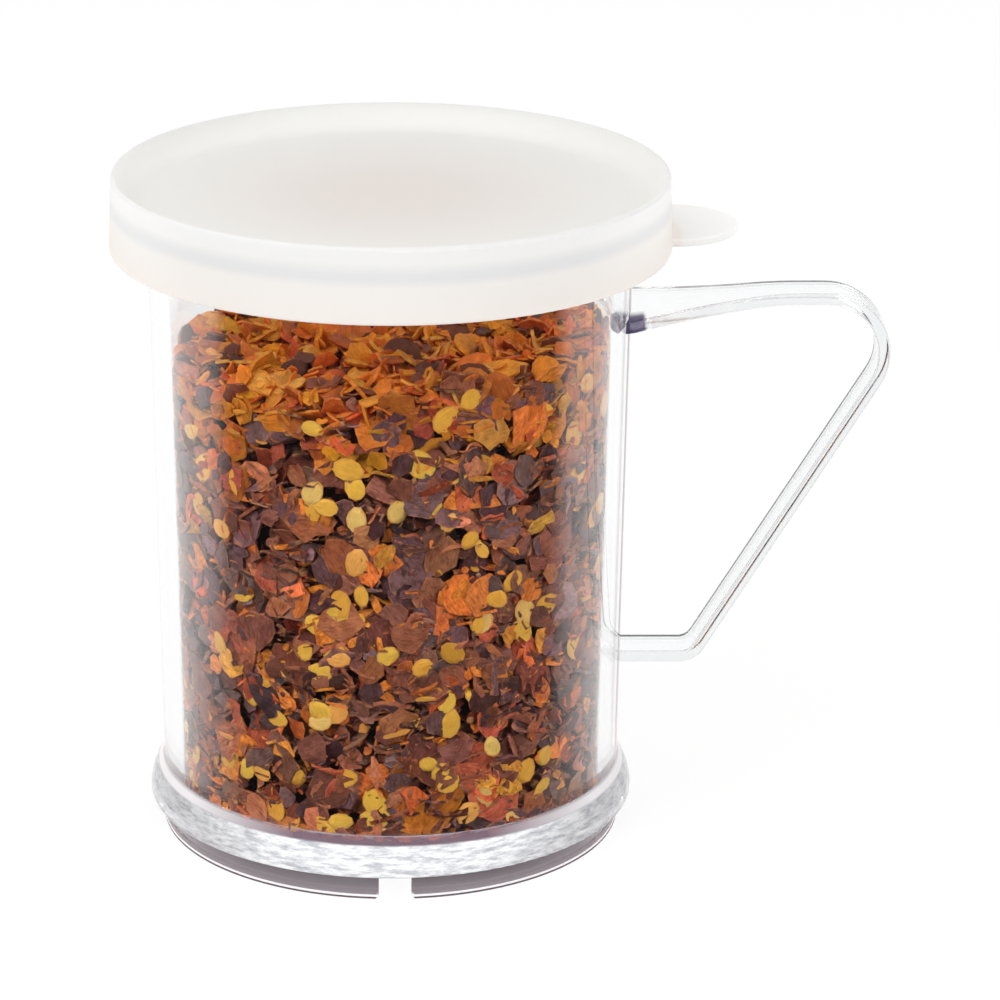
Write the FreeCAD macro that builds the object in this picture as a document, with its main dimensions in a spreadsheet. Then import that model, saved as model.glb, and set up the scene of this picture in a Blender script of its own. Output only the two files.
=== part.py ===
"""A 10 oz table shaker for crushed red pepper: a clear cup with a strap handle, a
perforated twist lid, a translucent snap cover with a pull tab, and the pepper.

Millimetres, +Z up. The origin is the centre of the foot ring's underside, on the
cup's axis. The handle points along +X.
"""
import FreeCAD, Part
import math
import os
import random
import Sketcher

V = FreeCAD.Vector
FULL_TURN = 360
DOC = FreeCAD.newDocument("table_shaker")
SIZES = DOC.addObject("Spreadsheet::Sheet", "sizes")

# Driving dimensions. Angles are in degrees, everything else is in millimetres.
VALUES = {
    # Foot ring with its drain slots
    "foot_step": 2.0,
    "foot_wall": 2.2,
    "foot_height": 4.0,
    "slot_width": 4.8,
    "slot_corner": 0.5,
    "slot_cuts": 2,
    "slot_turn": 90.0,
    "slot_azimuth": 1.1,
    # Flange above the foot
    "flange_reach": 2.05,
    "flange_lip": 0.5,
    "flange_edge": 1.3,
    "flange_height": 6.0,
    "flange_round": 9.0,
    # Cup wall and floor
    "wall_base_radius": 34.5,
    "wall_flare": 1.18,
    "wall_thickness": 2.8,
    "floor_thickness": 3.1,
    "floor_corner": 2.0,
    "cup_height": 94.0,
    "rim_round": 0.8,
    # Twist lock: three lugs under the cup's rim, three tabs in the lid's skirt
    "lug_count": 3,
    "lug_stand": 0.92,
    "lug_drop": 0.8,
    "lug_thickness": 1.2,
    "lug_bevel": 0.3,
    "lug_span": 30.0,
    "stop_width": 2.4,
    "stop_turn_play": 0.5,
    "tab_wall_play": 0.27,
    "tab_span": 22.0,
    "tab_drop_play": 0.1,
    "tab_thickness": 1.2,
    # Perforated twist lid
    "lid_seat_play": 0.05,
    "lid_plate": 1.6,
    "lid_lip": 0.6,
    "lid_bevel": 0.5,
    "lid_skirt_play": 0.25,
    "lid_skirt_wall": 1.1,
    "lid_skirt_depth": 3.6,
    "hole_radius": 3.2,
    "inner_ring_radius": 10.5,
    "inner_ring_holes": 6,
    "outer_ring_radius": 20.5,
    "outer_ring_holes": 12,
    # Snap cover
    "cover_lean": 0.35,
    "cover_wall": 1.85,
    "cover_height": 11.1,
    "cover_crest_inset": 0.5,
    "cover_crest_round": 0.6,
    "cover_dish_depth": 3.6,
    "cover_dish_slope": 4.6,
    "cover_plate": 1.2,
    "cover_seat_play": 0.25,
    "cover_channel_depth": 1.0,
    "cover_channel_width": 1.1,
    "cover_edge": 0.4,
    "bead_play": 0.05,
    "bead_stand": 0.85,
    "bead_height": 3.7,
    "bead_land": 0.4,
    "bead_flank": 1.4,
    # Pull tab on the cover
    "pull_azimuth": 10.7,
    "pull_reach": 10.9,
    "pull_round": 9.7,
    "pull_thickness": 1.2,
    "pull_edge": 0.35,
    # Strap handle
    "strap_width": 7.2,
    "strap_thickness": 1.8,
    "strap_edge": 0.3,
    "lower_arm_height": 25.0,
    "lower_arm_length": 10.92,
    "lower_corner_round": 3.2,
    "diagonal_lean": 31.1,
    "strap_drop": 6.6,
    "upper_bend_round": 8.5,
    "crest_flat": 4.13,
    "crest_round": 55.0,
    "upper_arm_slope": 7.0,
    "root_width": 18.2,
    "root_length": 25.0,
    # Pepper fill
    "fill_play": 0.2,
    "headspace_left": 18.9,
    "headspace_right": 15.0,
    "lump_depth": 2.4,
    "lumps_around": 24,
    "lump_rows": 9,
    "lump_seed": 11,
    # Length by which a cut or a joined face runs past the surface it crosses
    "overrun": 1.0,
}

for row, (alias, value) in enumerate(VALUES.items(), start=1):
    SIZES.set(f"A{row}", alias)
    SIZES.set(f"B{row}", str(value))
    SIZES.setAlias(f"B{row}", alias)
DOC.recompute()

# Heights and radii that several pieces share, worked out from the driving ones.
DERIVED = {
    "flange_radius": "wall_base_radius + flange_reach",
    "foot_radius": "flange_radius - foot_step",
    "wall_rim_radius": "wall_base_radius + wall_flare",
    "floor_top": "foot_height + floor_thickness",
    "flange_top": "foot_height + flange_height",
    "inner_base_radius": "wall_base_radius - wall_thickness",
    "inner_rim_radius": "wall_rim_radius - wall_thickness",
    "lug_radius": "wall_rim_radius + lug_stand",
    "lug_top": "cup_height - lug_drop",
    "lug_bottom": "lug_top - lug_thickness",
    "tab_top": "lug_bottom - tab_drop_play",
    "tab_bottom": "tab_top - tab_thickness",
    "tab_inner_radius": "wall_rim_radius + tab_wall_play",
    "lid_under": "cup_height + lid_seat_play",
    "lid_top": "lid_under + lid_plate",
    "skirt_inner_radius": "lug_radius + lid_skirt_play",
    "skirt_outer_radius": "skirt_inner_radius + lid_skirt_wall",
    "skirt_bottom": "lid_under - lid_skirt_depth",
    "lid_radius": "skirt_outer_radius + lid_lip",
    "plate_under": "lid_top + cover_seat_play",
    "plate_top": "plate_under + cover_plate",
    "cover_top": "plate_top + cover_dish_depth",
    "cover_bottom": "cover_top - cover_height",
    "bead_radius": "lid_radius + bead_play",
    "cover_inner_radius": "bead_radius + bead_stand",
    "cover_radius": "cover_inner_radius + cover_wall",
    "bead_level": "cover_bottom + bead_height",
    "crest_radius": "cover_radius - cover_lean - cover_crest_inset",
    "dish_radius": "crest_radius - cover_dish_slope",
    "dish_round": "(cover_dish_depth ^ 2 + cover_dish_slope ^ 2) / (2 * cover_dish_depth)",
    "pull_centre": "cover_radius + pull_reach - pull_round",
    "pull_root_radius": "cover_radius - cover_wall / 2",
    "strap_half": "strap_thickness / 2",
    "upper_arm_height": "cover_bottom - strap_drop - strap_thickness",
    "lower_arm_level": "lower_arm_height + strap_half",
    "upper_arm_level": "upper_arm_height + strap_half",
    "lower_corner_reach": "wall_base_radius + lower_arm_length",
    "bend_corner_reach": "lower_corner_reach + (upper_arm_level - lower_arm_level) * tan(diagonal_lean)",
    "corner_setback": "lower_corner_round * tan((90 - diagonal_lean) / 2)",
    "bend_setback": "upper_bend_round * tan((90 + diagonal_lean) / 2)",
    "crest_setback": "crest_round * tan(upper_arm_slope / 2)",
    "crest_reach": "bend_corner_reach - bend_setback - crest_setback - crest_flat",
    "arm_root": "inner_base_radius",
    "root_level": "upper_arm_level - (crest_reach - arm_root) * tan(upper_arm_slope)",
    "handle_split": "(lower_arm_height + upper_arm_height) / 2",
    "flare_side": "(root_width - strap_width) / 2",
    "flare_round": "(root_length ^ 2 + flare_side ^ 2) / (2 * flare_side)",
    "flare_end": "wall_rim_radius + root_length",
    "fill_left_level": "cup_height - headspace_left",
    "fill_right_level": "cup_height - headspace_right",
    "inner_slope_share": "(inner_rim_radius - inner_base_radius)"
                         " / (cup_height - rim_round - floor_top - floor_corner)",
}
for row, (alias, formula) in enumerate(DERIVED.items(), start=1):
    SIZES.set(f"D{row}", alias)
    SIZES.set(f"E{row}", f"={formula}")
    SIZES.setAlias(f"E{row}", alias)
DOC.recompute()


def size(expression):
    """The number that an expression in the sheet's names stands for."""
    return float(SIZES.evalExpression(expression))


def linked(expression):
    """The expression with each of the sheet's names written as sizes.name."""
    words = "".join(c if c.isalnum() or c == "_" else " " for c in expression).split()
    names = {w for w in words if w in VALUES or w in DERIVED}
    text = ""
    word = ""
    for c in expression + " ":
        if c.isalnum() or c == "_":
            word += c
            continue
        text += f"sizes.{word}" if word in names else word
        text += c
        word = ""
    return text.strip()


def new_body(name):
    body = DOC.addObject("PartDesign::Body", name)
    body.Label = name
    return body


def new_sketch(body, name, role, lift=None, turn=None):
    """A sketch on one of the body's origin planes, raised or turned about Z."""
    sketch = body.newObject("Sketcher::SketchObject", name)
    plane = [f for f in body.Origin.OriginFeatures if f.Role == role][0]
    sketch.AttachmentSupport = [(plane, "")]
    sketch.MapMode = "FlatFace"
    if lift:
        sketch.setExpression("AttachmentOffset.Base.z", linked(lift))
    if turn:
        upright = V(0, 0, 1) if role == "XY_Plane" else V(0, 1, 0)
        sketch.AttachmentOffset = FreeCAD.Placement(V(), FreeCAD.Rotation(upright, size(turn)))
        sketch.setExpression("AttachmentOffset.Rotation.Angle", linked(turn))
    return sketch


def pin(sketch, geometry, end, across, up):
    """Ties one point of a sketch to two expressions, or to an axis where one is 0."""
    for kind, axis, expression in (("DistanceX", -2, across), ("DistanceY", -1, up)):
        if expression == "0":
            sketch.addConstraint(Sketcher.Constraint("PointOnObject", geometry, end, axis))
            continue
        value = size(expression)
        index = sketch.addConstraint(Sketcher.Constraint(kind, -1, 1, geometry, end, value))
        sketch.setExpression(f"Constraints[{index}]", linked(expression))


def outline(sketch, corners):
    """Closes an outline through corners, each (across, up) or (across, up, radius, side).

    A radius makes the stretch to the next corner an arc. Side is 1 where its centre
    lies left of the way to the next corner, and -1 where it lies right.
    """
    points = [V(size(c[0]), size(c[1]), 0) for c in corners]
    first = sketch.GeometryCount
    count = len(corners)
    ends = []
    for index, corner in enumerate(corners):
        start = points[index]
        stop = points[(index + 1) % count]
        if len(corner) == 2:
            sketch.addGeometry(Part.LineSegment(start, stop))
            ends.append((1, 2))
            continue
        radius = size(corner[2])
        way = stop - start
        left = V(-way.y, way.x, 0).normalize() * corner[3]
        centre = (start + stop) / 2 + left * math.sqrt(radius ** 2 - (way.Length / 2) ** 2)
        bulge = centre - left * radius
        turns_left = corner[3] == 1
        sketch.addGeometry(Part.Arc(start, bulge, stop) if turns_left else Part.Arc(stop, bulge, start))
        ends.append((1, 2) if turns_left else (2, 1))
    for index in range(count):
        following = (index + 1) % count
        sketch.addConstraint(Sketcher.Constraint(
            "Coincident", first + index, ends[index][1], first + following, ends[following][0]))
    for index, corner in enumerate(corners):
        pin(sketch, first + index, ends[index][0], corner[0], corner[1])
        if len(corner) == 4:
            tie = sketch.addConstraint(Sketcher.Constraint("Radius", first + index, size(corner[2])))
            sketch.setExpression(f"Constraints[{tie}]", linked(corner[2]))


def circle(sketch, across, up, radius):
    geometry = sketch.addGeometry(Part.Circle(V(size(across), size(up), 0), V(0, 0, 1), size(radius)))
    pin(sketch, geometry, 3, across, up)
    tie = sketch.addConstraint(Sketcher.Constraint("Radius", geometry, size(radius)))
    sketch.setExpression(f"Constraints[{tie}]", linked(radius))


def upright_axis(body):
    return [f for f in body.Origin.OriginFeatures if f.Role == "Z_Axis"][0]


def revolve(body, name, sketch, angle=None, cut=False):
    """Turns a sketch about Z, fully or by an angle, to add or remove material."""
    kind = "PartDesign::Groove" if cut else "PartDesign::Revolution"
    feature = body.newObject(kind, name)
    feature.Profile = sketch
    feature.ReferenceAxis = (upright_axis(body), [""])
    feature.Angle = FULL_TURN
    if angle:
        feature.setExpression("Angle", linked(angle))
    DOC.recompute()
    return feature


def pad(body, name, sketch, length, midplane=False):
    feature = body.newObject("PartDesign::Pad", name)
    feature.Profile = sketch
    feature.SideType = "Symmetric" if midplane else "One side"
    feature.setExpression("Length", linked(length))
    DOC.recompute()
    return feature


def pocket(body, name, sketch, reverse=False, midplane=False):
    """Cuts a sketch through everything on one side or both, and checks that it cut."""
    before = body.Shape.Volume
    feature = body.newObject("PartDesign::Pocket", name)
    feature.Profile = sketch
    feature.SideType = "Symmetric" if midplane else "One side"
    feature.Reversed = reverse
    feature.Type = "ThroughAll"
    DOC.recompute()
    if body.Shape.Volume >= before:
        raise RuntimeError(f"{name} cuts nothing")
    return feature


def ring_of(body, name, features, count, span=None):
    """Repeats features round Z, over the full turn or a span between first and last."""
    pattern = body.newObject("PartDesign::PolarPattern", name)
    pattern.Originals = features
    pattern.Axis = (upright_axis(body), [""])
    pattern.Angle = FULL_TURN
    if span:
        pattern.setExpression("Angle", linked(span))
    pattern.setExpression("Occurrences", linked(count))
    body.Tip = pattern
    DOC.recompute()
    return pattern


def round_edges(body, name, edges, radius):
    """Rounds the named edges of the body's last feature."""
    last = body.Tip
    rounded = body.newObject("PartDesign::Fillet", name)
    rounded.Base = (last, edges)
    rounded.setExpression("Radius", linked(radius))
    DOC.recompute()
    return rounded


def make_cup():
    """Clear cup: foot ring, flange, floor and tapered wall in one moulding, with lugs."""
    body = new_body("cup_body")
    profile = new_sketch(body, "cup_profile", "XZ_Plane")
    foot_inner = "foot_radius - foot_wall"
    outline(profile, [
        (foot_inner, "0"),
        ("foot_radius", "0"),
        ("foot_radius", "foot_height"),
        ("flange_radius - flange_lip", "foot_height", "flange_lip", 1),
        ("flange_radius", "foot_height + flange_lip"),
        ("flange_radius", "foot_height + flange_edge", "flange_round", 1),
        ("wall_base_radius", "flange_top"),
        ("wall_rim_radius", "cup_height - rim_round", "rim_round", 1),
        ("wall_rim_radius - rim_round", "cup_height"),
        ("inner_rim_radius + rim_round", "cup_height", "rim_round", 1),
        ("inner_rim_radius", "cup_height - rim_round"),
        ("inner_base_radius", "floor_top + floor_corner", "floor_corner", -1),
        ("inner_base_radius - floor_corner", "floor_top"),
        ("0", "floor_top"),
        ("0", "foot_height"),
        (foot_inner, "foot_height"),
    ])
    revolve(body, "cup_turned", profile)

    slot = new_sketch(body, "slot_outline", "XZ_Plane", turn="slot_azimuth")
    half = "slot_width / 2"
    outline(slot, [
        (f"-{half} - slot_corner", "-overrun"),
        (f"{half} + slot_corner", "-overrun"),
        (f"{half} + slot_corner", "0"),
        (half, "slot_corner"),
        (half, "foot_height"),
        (f"-{half}", "foot_height"),
        (f"-{half}", "slot_corner"),
        (f"-{half} - slot_corner", "0"),
    ])
    slots = pocket(body, "drain_slot", slot, midplane=True)
    ring_of(body, "drain_slots", [slots], "slot_cuts", "slot_turn")

    lug = new_sketch(body, "lug_outline", "XZ_Plane")
    rooted = "wall_rim_radius - overrun"
    outline(lug, [
        (rooted, "lug_bottom"),
        ("lug_radius", "lug_bottom"),
        ("lug_radius", "lug_top - lug_bevel"),
        ("lug_radius - lug_bevel", "lug_top"),
        (rooted, "lug_top"),
    ])
    lugs = revolve(body, "lug", lug, "lug_span")
    stop = new_sketch(body, "stop_outline", "XY_Plane", lift="tab_bottom")
    outline(stop, [
        (rooted, "-stop_width"),
        ("lug_radius", "-stop_width"),
        ("lug_radius", "0"),
        (rooted, "0"),
    ])
    stops = pad(body, "stop", stop, "lug_top - tab_bottom")
    ring_of(body, "lugs_and_stops", [lugs, stops], "lug_count")
    return body


def make_handle():
    """Clear strap handle in the plane y = 0, its two ends butted on the cup's wall."""
    body = new_body("strap_handle")
    side = new_sketch(body, "strap_side", "XZ_Plane")
    lean = "diagonal_lean"
    slope = "upper_arm_slope"

    def on_diagonal(reach, level, along, offset):
        """A point along the diagonal from a corner, offset to its outer side."""
        return (f"{reach} + {along} * sin({lean}) + {offset} * cos({lean})",
                f"{level} + {along} * cos({lean}) - {offset} * sin({lean})")

    def on_slope(offset):
        """The end of the crest's arc on the arm's slope, offset to its upper side."""
        return (f"crest_reach - crest_setback * cos({slope}) - {offset} * sin({slope})",
                f"upper_arm_level - crest_setback * sin({slope}) + {offset} * cos({slope})")

    def strap_line(offset):
        """One long side of the strap, from the lower root round to the upper one."""
        low = f"lower_arm_level - {offset}"
        high = f"upper_arm_level + {offset}"
        return [
            ("arm_root", low),
            ("lower_corner_reach - corner_setback", low),
            on_diagonal("lower_corner_reach", "lower_arm_level", "corner_setback", offset),
            on_diagonal("bend_corner_reach", "upper_arm_level", "(-bend_setback)", offset),
            ("bend_corner_reach - bend_setback", high),
            ("crest_reach + crest_setback", high),
            on_slope(offset),
            ("arm_root", f"root_level + {offset} / cos({slope})"),
        ]

    rounds = {1: "lower_corner_round", 3: "upper_bend_round", 5: "crest_round"}
    outer = strap_line("strap_half")
    inner = strap_line("(-strap_half)")
    corners = [
        (*point, f"{rounds[index]} + strap_half", 1) if index in rounds else point
        for index, point in enumerate(outer)
    ]
    corners += [
        (*inner[index], f"{rounds[index - 1]} - strap_half", -1) if index - 1 in rounds else inner[index]
        for index in reversed(range(len(inner)))
    ]
    outline(side, corners)
    pad(body, "strap_blank", side, "root_width", midplane=True)

    far = "bend_corner_reach"
    for sign in ("", "-"):
        name = "left" if sign else "right"
        upper = new_sketch(body, f"flare_{name}", "XY_Plane", lift="handle_split")
        outline(upper, [
            ("arm_root - overrun", f"{sign}(root_width / 2)"),
            ("wall_rim_radius", f"{sign}(root_width / 2)", "flare_round", -1 if sign else 1),
            ("flare_end", f"{sign}(strap_width / 2)"),
            (far, f"{sign}(strap_width / 2)"),
            (far, f"{sign}(root_width / 2 + overrun)"),
            ("arm_root - overrun", f"{sign}(root_width / 2 + overrun)"),
        ])
        pocket(body, f"flare_cut_{name}", upper, reverse=True)
        lower = new_sketch(body, f"narrow_{name}", "XY_Plane", lift="handle_split")
        outline(lower, [
            ("arm_root - overrun", f"{sign}(strap_width / 2)"),
            (far, f"{sign}(strap_width / 2)"),
            (far, f"{sign}(root_width / 2 + overrun)"),
            ("arm_root - overrun", f"{sign}(root_width / 2 + overrun)"),
        ])
        pocket(body, f"narrow_cut_{name}", lower)

    round_edges(body, "strap_rounding", long_edges(body.Shape), "strap_edge")

    seat = new_sketch(body, "wall_seat", "XZ_Plane")
    outline(seat, [
        ("0", "flange_top"),
        ("wall_base_radius", "flange_top"),
        ("wall_rim_radius", "cup_height - rim_round"),
        ("0", "cup_height - rim_round"),
    ])
    revolve(body, "wall_seat_cut", seat, cut=True)
    return body


def long_edges(shape):
    """Names of the edges that run along the strap, all but those of its two ends."""
    root = size("arm_root")
    names = []
    for index, edge in enumerate(shape.Edges, start=1):
        box = edge.BoundBox
        if box.XLength > size("strap_edge") and box.XMax > root + size("strap_edge"):
            names.append(f"Edge{index}")
    return names


def make_lid():
    """Clear twist lid: a perforated plate, and a skirt whose tabs hook under the lugs."""
    body = new_body("shaker_lid")
    profile = new_sketch(body, "lid_profile", "XZ_Plane")
    outline(profile, [
        ("0", "lid_under"),
        ("skirt_inner_radius", "lid_under"),
        ("skirt_inner_radius", "skirt_bottom"),
        ("skirt_outer_radius", "skirt_bottom"),
        ("skirt_outer_radius", "lid_under"),
        ("lid_radius - lid_bevel", "lid_under"),
        ("lid_radius", "lid_under + lid_bevel"),
        ("lid_radius", "lid_top - lid_bevel"),
        ("lid_radius - lid_bevel", "lid_top"),
        ("0", "lid_top"),
    ])
    revolve(body, "lid_turned", profile)

    middle = new_sketch(body, "middle_hole", "XY_Plane")
    circle(middle, "0", "0", "hole_radius")
    pocket(body, "middle_hole_cut", middle, reverse=True)
    for ring in ("inner_ring", "outer_ring"):
        hole = new_sketch(body, f"{ring}_hole", "XY_Plane")
        circle(hole, f"{ring}_radius", "0", "hole_radius")
        cut = pocket(body, f"{ring}_hole_cut", hole, reverse=True)
        ring_of(body, f"{ring}_pattern", [cut], f"{ring}_holes")

    tab = new_sketch(body, "tab_outline", "XZ_Plane", turn="stop_turn_play")
    outline(tab, [
        ("tab_inner_radius", "tab_bottom"),
        ("skirt_inner_radius + lid_skirt_wall / 2", "tab_bottom"),
        ("skirt_inner_radius + lid_skirt_wall / 2", "tab_top"),
        ("tab_inner_radius", "tab_top"),
    ])
    tabs = revolve(body, "tab", tab, "tab_span")
    ring_of(body, "tabs", [tabs], "lug_count")
    return body


def make_cover():
    """Translucent snap cover: dished plate, raised rim, skirt with a bead, pull tab."""
    body = new_body("snap_cover")
    pull = new_sketch(body, "pull_outline", "XY_Plane", lift="cover_bottom", turn="pull_azimuth")
    meeting = "((pull_root_radius ^ 2 - pull_round ^ 2 + pull_centre ^ 2) / (2 * pull_centre))"
    spread = f"sqrt(pull_root_radius ^ 2 - {meeting} ^ 2)"
    outline(pull, [
        (meeting, f"-{spread}", "pull_round", 1),
        ("pull_centre + pull_round", "0", "pull_round", 1),
        (meeting, spread, "pull_root_radius", -1),
    ])
    pad(body, "pull_tab", pull, "pull_thickness")
    edges = [
        f"Edge{index}" for index, edge in enumerate(body.Shape.Edges, start=1)
        if edge.BoundBox.ZLength < size("pull_edge") and edge.Curve.Radius < size("pull_centre / 2")
    ]
    round_edges(body, "pull_rounding", edges, "pull_edge")

    profile = new_sketch(body, "cover_profile", "XZ_Plane")
    lean_radius = "cover_radius - cover_lean"
    bead_low = "bead_level - bead_land / 2"
    bead_high = "bead_level + bead_land / 2"
    channel_top = "plate_under + cover_channel_depth"
    outline(profile, [
        ("cover_radius - cover_edge", "cover_bottom", "cover_edge", 1),
        ("cover_radius", "cover_bottom + cover_edge"),
        (lean_radius, "cover_top - cover_crest_round", "cover_crest_round", 1),
        ("crest_radius", "cover_top", "dish_round", -1),
        ("dish_radius", "plate_top"),
        ("0", "plate_top"),
        ("0", "plate_under"),
        ("cover_inner_radius - cover_channel_width", "plate_under"),
        ("cover_inner_radius - cover_channel_width", channel_top),
        ("cover_inner_radius", channel_top),
        ("cover_inner_radius", f"{bead_high} + bead_flank"),
        ("bead_radius", bead_high),
        ("bead_radius", bead_low),
        ("cover_inner_radius", f"{bead_low} - bead_flank"),
        ("cover_inner_radius", "cover_bottom"),
    ])
    revolve(body, "cover_turned", profile)
    return body


def make_fill():
    """Pepper: the heap's faceted outside, with lumps and hollows as wide as large flakes.

    Rings of points climb the wall, each ring half a step round from the last, and the
    heap's top, which leans up towards the handle, closes over smaller rings.
    """
    draw = random.Random(int(size("lump_seed")))
    around = int(size("lumps_around"))
    rows = int(size("lump_rows"))
    step = math.tau / around
    floor_level = size("floor_top + fill_play")
    first_level = size("floor_top + floor_corner")
    floor_reach = size("inner_base_radius - floor_corner")
    wall_reach = size("inner_base_radius - fill_play")
    slope_share = size("inner_slope_share")
    top_level = size("(fill_left_level + fill_right_level) / 2")
    top_lean = size("(fill_right_level - fill_left_level) / (2 * inner_rim_radius)")

    def hollow():
        """How far behind the heap's outside a point lies: one in three lies right on it."""
        return size("lump_depth") * max(0, draw.uniform(-0.5, 1))

    def placed(reach, turn, level):
        return V(reach * math.cos(turn), reach * math.sin(turn), level)

    def heap_level(reach, turn):
        return top_level + top_lean * reach * math.cos(turn)

    def wall_ring(row):
        """The points at the wall, at an even share of the way up to the heap's edge."""
        ring = []
        for index in range(around):
            turn = (index + row % 2 / 2) * step
            climb = (heap_level(wall_reach, turn) - first_level) * row / (rows - 1)
            reach = wall_reach + climb * slope_share - hollow()
            ring.append(placed(reach, turn, first_level + climb))
        return ring

    def top_ring(reach, count):
        turns = [math.tau * index / count for index in range(count)]
        return [placed(reach, turn, heap_level(reach, turn) - hollow()) for turn in turns]

    floor_ring = [placed(floor_reach, (index + 1 / 2) * step, floor_level) for index in range(around)]
    rings = [floor_ring] + [wall_ring(row) for row in range(rows)]
    corners = []
    for row, (low, high) in enumerate(zip(rings, rings[1:])):
        for index in range(around):
            after = (index + 1) % around
            if row % 2:
                corners += [(low[index], low[after], high[index]), (low[after], high[after], high[index])]
            else:
                corners += [(low[index], high[after], high[index]), (low[index], low[after], high[after])]
    outer = rings[-1]
    for reach in (wall_reach * 2 / 3, wall_reach / 3):
        inner = top_ring(reach, len(outer) // 2)
        for index in range(len(inner)):
            after = (index + 1) % len(inner)
            left, middle, right = outer[2 * index], outer[2 * index + 1], outer[2 * index + 2 - len(outer)]
            corners += [
                (left, middle, inner[index]),
                (middle, inner[after], inner[index]),
                (middle, right, inner[after]),
            ]
        outer = inner
    summit = placed(0, 0, top_level)
    corners += [(outer[index - 1], outer[index], summit) for index in range(len(outer))]

    faces = [Part.Face(Part.makePolygon([*points, points[0]])) for points in [*corners, floor_ring]]
    shell = Part.makeShell(faces)
    shell.sewShape()
    heap = Part.makeSolid(shell.Shells[0])
    if heap.Volume < 0:
        heap.reverse()
    fill = DOC.addObject("Part::Feature", "pepper_fill")
    fill.Label = "pepper_fill"
    fill.Shape = heap
    fill.Placement = FreeCAD.Placement()
    return fill


PIECES = [make_cup(), make_handle(), make_lid(), make_cover(), make_fill()]
DOC.recompute()

for item in DOC.Objects:
    if "Invalid" in item.State or "Error" in item.State:
        raise RuntimeError(f"{item.Label} did not compute: {item.State}")
for piece in PIECES:
    if piece.Shape.isNull() or not piece.Shape.isValid() or len(piece.Shape.Solids) != 1:
        raise RuntimeError(f"{piece.Label} has no valid single solid")

os.makedirs("parts", exist_ok=True)
for piece in PIECES:
    piece.Shape.exportStep(f"parts/{piece.Label}.step")
    box = piece.Shape.optimalBoundingBox()
    print(f"{piece.Label}: {piece.Shape.Volume:.1f} mm3, "
          f"x {box.XMin:.2f}..{box.XMax:.2f}, y {box.YMin:.2f}..{box.YMax:.2f}, "
          f"z {box.ZMin:.2f}..{box.ZMax:.2f}")
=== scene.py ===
"""A 10 oz clear table shaker of crushed red pepper, with a strap handle and a snap cover.

Metres, +Z up. The origin is the centre of the foot ring's underside, and the handle
points along +X.
"""

import math

import bmesh
import bpy
import numpy as np
from mathutils import Matrix, Vector


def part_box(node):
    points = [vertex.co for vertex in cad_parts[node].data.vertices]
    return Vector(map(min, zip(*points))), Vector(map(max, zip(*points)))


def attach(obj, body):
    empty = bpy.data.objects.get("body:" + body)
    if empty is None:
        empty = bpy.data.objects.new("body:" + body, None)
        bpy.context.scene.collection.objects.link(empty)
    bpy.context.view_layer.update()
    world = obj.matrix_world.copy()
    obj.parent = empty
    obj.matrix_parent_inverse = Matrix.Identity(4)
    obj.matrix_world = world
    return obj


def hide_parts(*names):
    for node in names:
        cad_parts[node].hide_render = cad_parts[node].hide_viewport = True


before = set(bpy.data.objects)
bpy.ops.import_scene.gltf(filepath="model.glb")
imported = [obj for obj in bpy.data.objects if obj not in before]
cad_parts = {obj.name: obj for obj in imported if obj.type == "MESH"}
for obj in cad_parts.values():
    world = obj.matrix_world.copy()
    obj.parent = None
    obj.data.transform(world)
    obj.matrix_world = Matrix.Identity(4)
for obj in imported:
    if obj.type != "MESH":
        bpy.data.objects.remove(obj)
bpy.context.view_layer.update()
scene = bpy.context.scene
mm = 0.001

# Studio. The shaker stands on white card and is seen from a little above with a long
# lens. A white tent lights it from behind and above, and the room in front is darker,
# which draws the grey lines that clear plastic shows at its edges.
VIEW_TILT = 19.36
camera_data = bpy.data.cameras.new("view")
camera_data.lens = 159.83
camera_data.sensor_width = 36
camera_data.shift_x = 0.10926
camera_data.clip_start = 10 * mm
camera = bpy.data.objects.new("view", camera_data)
camera.location = (0, -627.8 * mm, 270.3 * mm)
camera.rotation_euler = (math.radians(90 - VIEW_TILT), 0, 0)
scene.collection.objects.link(camera)
scene.camera = camera
scene.view_settings.view_transform = "Standard"
scene.cycles.max_bounces = 28
scene.cycles.diffuse_bounces = 3
scene.cycles.glossy_bounces = 28
scene.cycles.transmission_bounces = 28
scene.cycles.transparent_max_bounces = 24


def linear(hex_code):
    """An sRGB hex colour as the linear colour that shaders take."""
    parts = [int(hex_code[i:i + 2], 16) / 255 for i in (1, 3, 5)]
    lit = [p / 12.92 if p <= 0.04045 else ((p + 0.055) / 1.055) ** 2.4 for p in parts]
    return (*lit, 1.0)


def add(tree, kind, settings=None, links=None):
    """Adds a node, sets its properties and sockets, and links outputs into it."""
    node = tree.nodes.new(kind)
    for key, value in (settings or {}).items():
        if isinstance(key, str) and hasattr(node, key):
            setattr(node, key, value)
        else:
            node.inputs[key].default_value = value
    for key, output in (links or {}).items():
        tree.links.new(output, node.inputs[key])
    return node


def new_material(name):
    material = bpy.data.materials.new(name)
    material.use_nodes = True
    material.node_tree.nodes.clear()
    return material, material.node_tree


def seen_directly(tree):
    """1 for rays from the camera, mirrored or through clear plastic, and 0 for the rest."""
    path = add(tree, "ShaderNodeLightPath")
    mirrored = add(tree, "ShaderNodeMath", {"operation": "MAXIMUM"},
                   {0: path.outputs["Is Camera Ray"], 1: path.outputs["Is Glossy Ray"]})
    return add(tree, "ShaderNodeMath", {"operation": "MAXIMUM"},
               {0: mirrored.outputs[0], 1: path.outputs["Is Transmission Ray"]}).outputs[0]


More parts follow.
